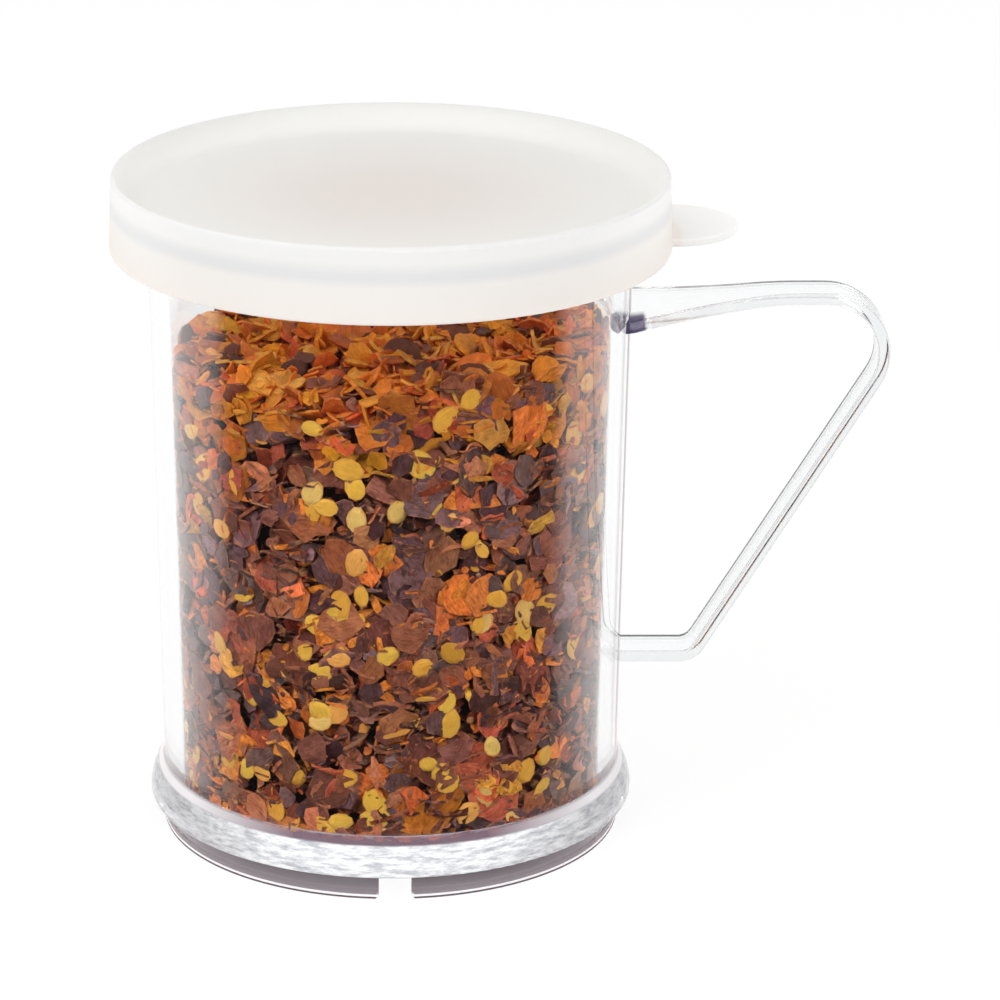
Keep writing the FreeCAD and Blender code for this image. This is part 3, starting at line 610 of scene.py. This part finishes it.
def dried_skin(name, mottle, roughness, glow_share, rim_colour, rim_from, rim_share):
    """Dried chilli: mottled, veined along each flake, waxy, with another colour at its rim."""
    material, tree = new_material(name)
    tint = add(tree, "ShaderNodeAttribute", {"attribute_name": "tint"})
    fibre = add(tree, "ShaderNodeAttribute", {"attribute_name": "fibre"}).outputs["Vector"]
    drawn_out = add(tree, "ShaderNodeVectorMath", {"operation": "MULTIPLY", 1: (0.22, 1.0, 1.0)},
                    {0: fibre})
    patches = add(tree, "ShaderNodeTexNoise", {"Scale": 1 / PATCH_PITCH, "Detail": 3.0, "Roughness": 0.6},
                  {"Vector": fibre})
    veins = add(tree, "ShaderNodeTexNoise", {"Scale": 1 / VEIN_PITCH, "Detail": 3.0, "Roughness": 0.7},
                {"Vector": drawn_out.outputs[0]})
    pattern = add(tree, "ShaderNodeMix", {"data_type": "FLOAT", 0: 0.5},
                  {2: patches.outputs["Fac"], 3: veins.outputs["Fac"]})
    light_and_dark = add(tree, "ShaderNodeMapRange", {"From Min": 0.36, "From Max": 0.64},
                         {"Value": pattern.outputs[0]})
    # Where the skin is darker it is redder too
    tone = add(tree, "ShaderNodeMix",
               {"data_type": "RGBA", 6: (1 - mottle, (1 - mottle) ** 1.5, (1 - mottle) ** 1.8, 1.0),
                7: (1 + 0.7 * mottle, 1 + 0.7 * mottle, 1 + 0.7 * mottle, 1.0)},
               {0: light_and_dark.outputs[0]})
    skin_colour = add(tree, "ShaderNodeVectorMath", {"operation": "MULTIPLY"},
                      {0: tint.outputs["Color"], 1: tone.outputs[2]})
    # The rim's line wavers and breaks off where the flake was torn
    wavering = add(tree, "ShaderNodeMath", {"operation": "MULTIPLY_ADD", 1: 0.6},
                   {0: patches.outputs["Fac"], 2: tint.outputs["Alpha"]})
    at_rim = add(tree, "ShaderNodeMapRange",
                 {"From Min": rim_from + 0.3, "From Max": rim_from + 0.44, "To Max": rim_share},
                 {"Value": wavering.outputs[0]})
    rim_tone = add(tree, "ShaderNodeMix", {"data_type": "RGBA", 7: linear(rim_colour)},
                   {0: at_rim.outputs[0], 6: skin_colour.outputs[0]})
    bump = add(tree, "ShaderNodeBump", {"Strength": 1.0, "Distance": WRINKLE_DEPTH},
               {"Height": pattern.outputs[0]})
    skin = add(tree, "ShaderNodeBsdfPrincipled", {"Roughness": roughness, "IOR": 1.45},
               {"Base Color": rim_tone.outputs[2], "Normal": bump.outputs[0]})
    lit_through = add(tree, "ShaderNodeBsdfTranslucent", {}, {"Color": rim_tone.outputs[2]})
    both = add(tree, "ShaderNodeMixShader", {"Fac": glow_share},
               {1: skin.outputs[0], 2: lit_through.outputs[0]})
    add(tree, "ShaderNodeOutputMaterial", {}, {"Surface": both.outputs[0]})
    return material


def palette(count, colours, shares, vary):
    """Linear tints drawn from hex colours by share, each a little lighter or darker."""
    chosen = draw.choice(len(colours), count, p=np.array(shares) / sum(shares))
    tints = np.array([linear(c) for c in colours])[chosen]
    shade = np.exp(draw.normal(0, vary, (count, 1)))
    # The darker ones are redder too
    tints[:, :3] *= shade * np.minimum(shade, 1) ** [0.0, 0.35, 0.6]
    tints[:, :3] *= np.exp(draw.normal(0, vary / 4, (count, 3)))
    tints[:, :3] /= np.maximum(tints[:, :3].max(axis=1, keepdims=True) / BRIGHTEST, 1)
    return tints


def wall_places(count, depth, upper_share=1.0):
    """Places near the wall, evenly over its height and down to a depth behind it. Of those
    in the upper part, UPPER_DEPTH deep, only upper_share stays."""
    heights = draw.uniform(FLOOR_LEVEL, HEAP_RIGHT, count)
    angles = draw.uniform(-math.pi, math.pi, count)
    reach = wall_radius(heights) - depth * draw.uniform(0, 1, count)
    places = np.stack([reach * np.cos(angles), reach * np.sin(angles), heights], axis=1)
    low_enough = heights < heap_top(places[:, 0], places[:, 1]) - TOP_MARGIN
    thinned = (heights < HEAP_LEFT - UPPER_DEPTH) | (draw.uniform(0, 1, count) < upper_share)
    return places[low_enough & thinned]


def top_places(count, depth):
    """Places over the heap's top, down to a depth."""
    reach = (RIM_RADIUS - 1 * mm) * np.sqrt(draw.uniform(0, 1, count))
    angles = draw.uniform(-math.pi, math.pi, count)
    across = reach * np.cos(angles)
    deep = reach * np.sin(angles)
    heights = heap_top(across, deep) - depth * draw.uniform(0, 1, count)
    return np.stack([across, deep, heights], axis=1)


def floor_places(count, depth):
    """Places over the cup's floor, which shows through from below."""
    reach = FLOOR_RADIUS * np.sqrt(draw.uniform(0, 1, count))
    angles = draw.uniform(-math.pi, math.pi, count)
    heights = FLOOR_LEVEL + depth * draw.uniform(0, 1, count)
    return np.stack([reach * np.cos(angles), reach * np.sin(angles), heights], axis=1)


def flake_lengths(count, middle, spread, least, most):
    """Lengths around a middle one, given in millimetres and returned in metres."""
    return np.clip(np.exp(draw.normal(math.log(middle), spread, count)), least, most) * mm


def scraps(count, columns, rows, narrow, thickness, curl, first_seed):
    """Shapes of one kind of scrap, each with its own width between the two in narrow."""
    return [as_arrays(torn_sheet(columns, rows, draw.uniform(*narrow), thickness, curl, first_seed + i))
            for i in range(count)]


def wall_heap(name, shapes, tried, depth, upper_share, pose, sizes, colours, shares, vary, material):
    """A heap of small pieces at the wall.

    Pose is the share that lies flat, the share pressed on the wall and the lean. Sizes is
    the middle length, its spread, the least and the most, in millimetres.
    """
    places = wall_places(tried, depth, upper_share)
    heap_of(name, shapes, places, lying(places, *pose), flake_lengths(len(places), *sizes),
            palette(len(places), colours, shares, vary), material)


skin_shapes = scraps(28, 3, 2, (0.55, 0.95), 0.08, 0.6, 100)
sliver_shapes = scraps(14, 4, 1, (0.2, 0.38), 0.07, 0.8, 200)
seed_shapes = [as_arrays(flat_seed(300 + i)) for i in range(8)]
bit_shapes = scraps(10, 2, 1, (0.4, 0.9), 0.08, 0.8, 500)
heart_shapes = [as_arrays(torn_sheet(5, 2, 0.38, 0.06, 0.5, 400 + i)) for i in range(4)]

MAROON = ["#985a42", "#7f4d3e", "#6b4d4d", "#b5704b", "#573b3c", "#9f6c58", "#b1543a", "#846365"]
MAROON_SHARES = [0.17, 0.18, 0.2, 0.12, 0.12, 0.07, 0.05, 0.09]
MAROON_TWICE = [2 * share for share in MAROON_SHARES]
MAROON_MOST = [4.5 * share for share in MAROON_SHARES]
ORANGE = ["#f08a38", "#f79c38", "#d87538", "#f8b046", "#e87040"]
ORANGE_SHARES = [0.3, 0.24, 0.22, 0.12, 0.12]
AMBER = ["#fab03c", "#f6a02c", "#fcc058", "#f29640", "#faac28"]
AMBER_SHARES = [0.3, 0.22, 0.16, 0.16, 0.16]
SEED = ["#fcc850", "#fabc48", "#fcd478", "#f8b458", "#fcc24a"]
SEED_SHARES = [0.3, 0.22, 0.16, 0.16, 0.16]

dark_skin = dried_skin("dried_red_skin", mottle=0.5, roughness=0.38, glow_share=0.1,
                       rim_colour="#d08050", rim_from=0.96, rim_share=0.7)
pale_flesh = dried_skin("dried_orange_flesh", mottle=0.42, roughness=0.46, glow_share=0.25,
                        rim_colour="#f0a850", rim_from=0.98, rim_share=0.6)
top_flesh = dried_skin("dried_top_flesh", mottle=0.3, roughness=0.46, glow_share=0.45,
                       rim_colour="#f8b860", rim_from=0.98, rim_share=0.6)
seed_coat = dried_skin("seed_coat", mottle=0.12, roughness=0.3, glow_share=0.15,
                       rim_colour="#e09c48", rim_from=0.82, rim_share=0.9)

wall_heap("pepper_red_flakes", skin_shapes, 2600, 5.0 * mm, 0.5, (0.26, 0.54, 0.28),
          (4.2, 0.36, 1.8, 8.0), MAROON, MAROON_SHARES, 0.32, dark_skin)
wall_heap("pepper_orange_flakes", skin_shapes, 1100, 3.5 * mm, 0.6, (0.35, 0.4, 0.35),
          (2.8, 0.42, 1.0, 6.0), ORANGE + MAROON, ORANGE_SHARES + MAROON_TWICE, 0.3, pale_flesh)
wall_heap("pepper_slivers", sliver_shapes, 900, 2.5 * mm, 0.6, (0.5, 0.3, 0.35),
          (3.4, 0.38, 1.2, 7.0), ORANGE + AMBER + MAROON,
          ORANGE_SHARES + AMBER_SHARES[:3] + [0.0, 0.0] + MAROON_TWICE, 0.3, pale_flesh)
wall_heap("pepper_bits", bit_shapes, 3000, 1.6 * mm, 0.5, (0.3, 0.3, 0.5),
          (1.1, 0.4, 0.5, 2.4), ORANGE + MAROON, ORANGE_SHARES + MAROON_TWICE, 0.35, pale_flesh)
# The outermost flakes lie flat against the wall, with the seeds among them
wall_heap("pepper_wall_flakes", skin_shapes, 1900, 0.9 * mm, 0.45, (0.1, 0.85, 0.2),
          (3.9, 0.34, 1.8, 7.0), MAROON + ORANGE, MAROON_MOST + ORANGE_SHARES, 0.25, dark_skin)
wall_heap("pepper_seeds", seed_shapes, 300, 0.3 * mm, 1.0, (0.08, 0.86, 0.22),
          (3.7, 0.14, 2.6, 4.6), SEED, SEED_SHARES, 0.1, seed_coat)
# A few large scraps of the fibrous heart stand at the front, low down
HEART_PLACES = np.array([(0.6, -31.0, 15.9), (3.0, -30.9, 10.9),
                         (7.2, -30.2, 12.6), (2.0, -31.0, 31.6)]) * mm
HEART_LENGTHS = np.array([8.5, 8.0, 9.0, 6.0]) * mm
HEART_SPINS = np.array([1.45, 1.2, 0.9, 0.2])
heart_out = HEART_PLACES * [1, 1, 0]
heart_out = heart_out / np.linalg.norm(heart_out, axis=1, keepdims=True)
heap_of("pepper_heart_scraps", heart_shapes, HEART_PLACES, heart_out, HEART_LENGTHS,
        palette(len(HEART_PLACES), ["#d47c26"], [1], 0.1), pale_flesh, HEART_SPINS)
# Coarse scraps in the upper part are paler and oranger, painted light for the light that falls there from
# above through the cover
upper_wall = wall_places(3000, 1.0 * mm)
upper_wall = upper_wall[upper_wall[:, 2] > HEAP_LEFT - UPPER_DEPTH]
heap_of("pepper_upper_scraps", skin_shapes + seed_shapes[:2], upper_wall,
        lying(upper_wall, 0.4, 0.5, 0.26), flake_lengths(len(upper_wall), 2.9, 0.35, 1.2, 6.0),
        palette(len(upper_wall), ORANGE + AMBER, ORANGE_SHARES + AMBER_SHARES, 0.25), top_flesh)
# The heap's top also gets the paler, oranger palette, painted light from above
heap = top_places(2600, 4 * mm)
heap_of("pepper_top_flakes", skin_shapes + seed_shapes, heap, lying(heap, 0.7, 0.0, 0.35),
        flake_lengths(len(heap), 3.4, 0.35, 1.6, 6.5),
        palette(len(heap), ORANGE + AMBER + MAROON[:2],
                ORANGE_SHARES + AMBER_SHARES + MAROON_SHARES[:2], 0.15), top_flesh)
lowest = floor_places(1500, 2.5 * mm)
heap_of("pepper_floor_flakes", skin_shapes, lowest, lying(lowest, 0.75, 0.0, 0.3),
        flake_lengths(len(lowest), 3.8, 0.35, 1.8, 6.5),
        palette(len(lowest), MAROON + ORANGE, MAROON_SHARES + ORANGE_SHARES, 0.2), dark_skin)

# Core: dust and crumbs fill the heap's inside. They are dull, and coloured nearly black
# as painted shade for the gaps between the flakes; they let no light through and show only in those gaps.
CORE_INSET = 4.0 * mm
CRUMB_PITCH = 1.5 * mm
core = bmesh.new()
bmesh.ops.create_cone(core, cap_ends=True, segments=64, radius1=FLOOR_RADIUS - CORE_INSET,
                      radius2=RIM_RADIUS - CORE_INSET, depth=HEAP_LEFT - FLOOR_LEVEL - 2 * CORE_INSET,
                      matrix=Matrix.Translation((0, 0, (HEAP_LEFT + FLOOR_LEVEL) / 2)))
core_mesh = bpy.data.meshes.new("pepper_core")
core.to_mesh(core_mesh)
core.free()
crumbs, crumbs_tree = new_material("pepper_core_painted_shade")
crumb_noise = add(crumbs_tree, "ShaderNodeTexVoronoi", {"Scale": 1 / CRUMB_PITCH},
                  {"Vector": add(crumbs_tree, "ShaderNodeTexCoord").outputs["Object"]})
core_painted_shade_colour = add(crumbs_tree, "ShaderNodeMix",
                   {"data_type": "RGBA", 6: linear("#1a0c0a"), 7: linear("#381a12")},
                   {0: crumb_noise.outputs["Distance"]})
core_painted_shade_look = add(crumbs_tree, "ShaderNodeBsdfPrincipled", {"Roughness": 0.8},
                 {"Base Color": core_painted_shade_colour.outputs[2]})
add(crumbs_tree, "ShaderNodeOutputMaterial", {}, {"Surface": core_painted_shade_look.outputs[0]})
core_mesh.materials.append(crumbs)
core_piece = bpy.data.objects.new("pepper_core", core_mesh)
scene.collection.objects.link(core_piece)
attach(core_piece, "cup")
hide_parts("pepper_fill")
